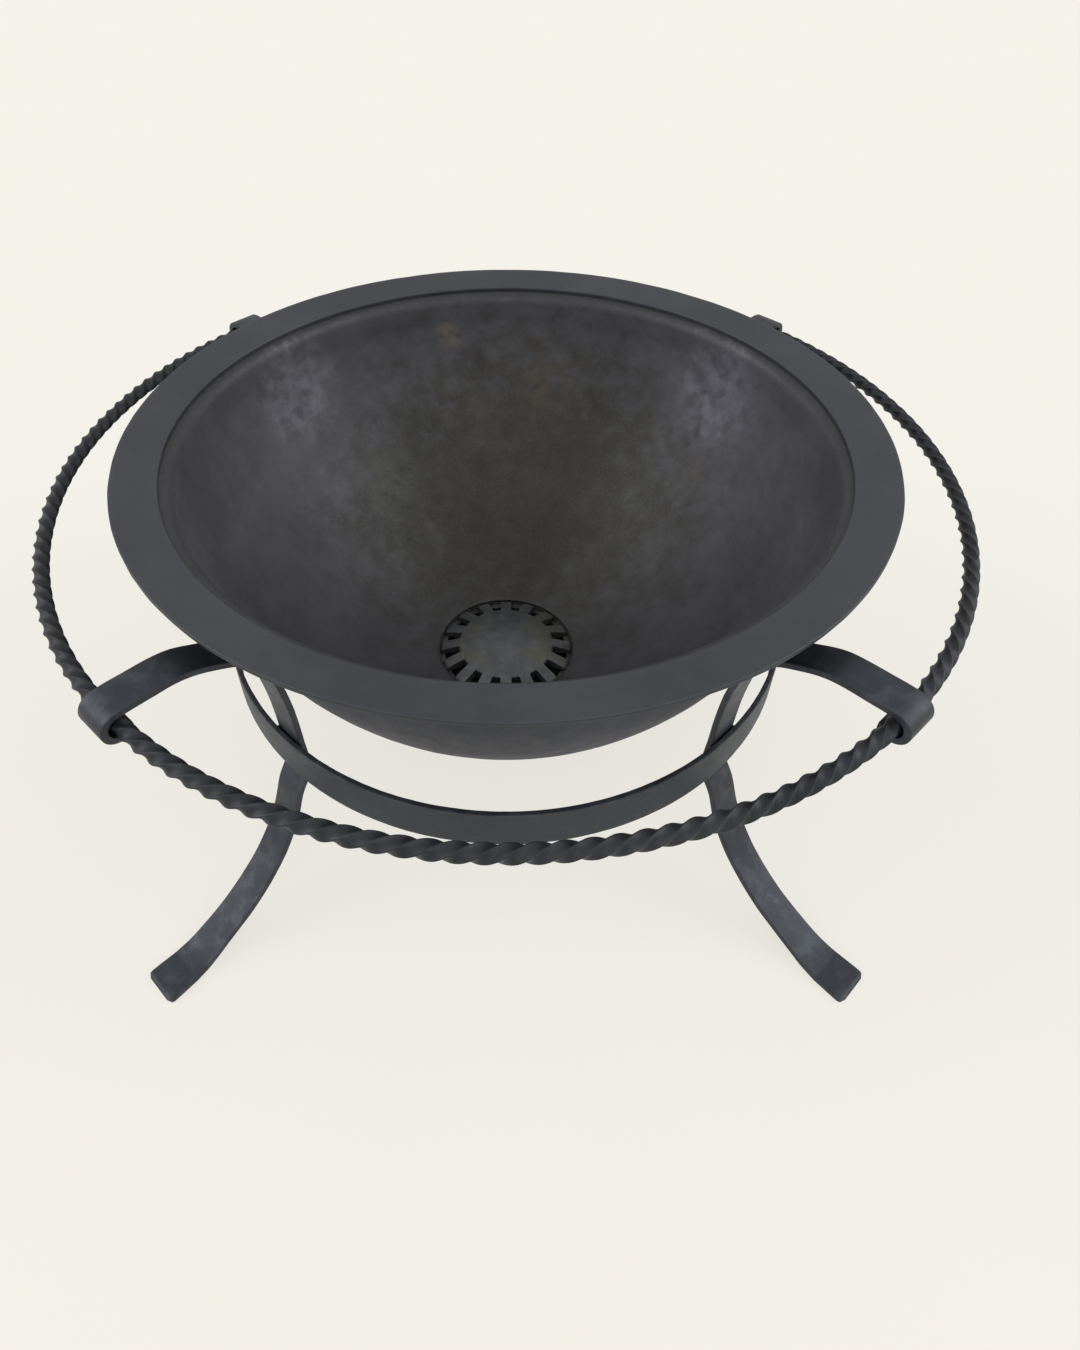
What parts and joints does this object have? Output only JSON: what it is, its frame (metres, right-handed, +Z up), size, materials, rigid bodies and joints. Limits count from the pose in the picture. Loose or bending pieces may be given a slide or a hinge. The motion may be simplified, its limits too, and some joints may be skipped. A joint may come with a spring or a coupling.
{
  "type": "coal forge",
  "caption": "Deep dished floor forge with a flat rim and toothed air grate, carried in a hand-forged four-legged stand with a flat waist hoop and a twisted outer ring.",
  "frame": {"origin": "centre of the whole object's footprint, on the floor", "axes": "+Z up, -Y toward the smith at the front, +X to the smith's right"},
  "size_m": [0.963, 0.963, 0.455],
  "materials": {
    "black_steel": "forge-blackened, waxed, satin",
    "dish_steel": "hammered and fire-darkened, satin",
    "grate_iron": "cast, worn brighter on the dome",
    "pot_steel": "sooty, matt"
  },
  "bodies": {
    "stand": {"leg_front_left": "black_steel", "leg_front_right": "black_steel", "leg_rear_left": "black_steel", "leg_rear_right": "black_steel", "waist_hoop": "black_steel", "twisted_ring": "black_steel"},
    "hearth": {"dish": "dish_steel", "rim": "black_steel", "air_pot": "pot_steel", "pot_base": "pot_steel", "gate_rail_left": "pot_steel", "gate_rail_right": "pot_steel", "air_pipe": "pot_steel", "blower_flange": "pot_steel"},
    "grate": {"grate": "grate_iron"},
    "ash_gate": {"ash_gate": "pot_steel"}
  },
  "joints": [
    {"name": "stand_to_hearth", "type": "slide", "parent": "stand", "child": "hearth", "axis": [0, 0, 1], "range_m": [0, 0.4]},
    {"name": "hearth_to_grate", "type": "slide", "parent": "hearth", "child": "grate", "axis": [0, 0, 1], "range_m": [0, 0.36]},
    {"name": "ash_gate_slide", "type": "slide", "parent": "hearth", "child": "ash_gate", "axis": [0, -1, 0], "range_m": [0, 0.1]}
  ]
}
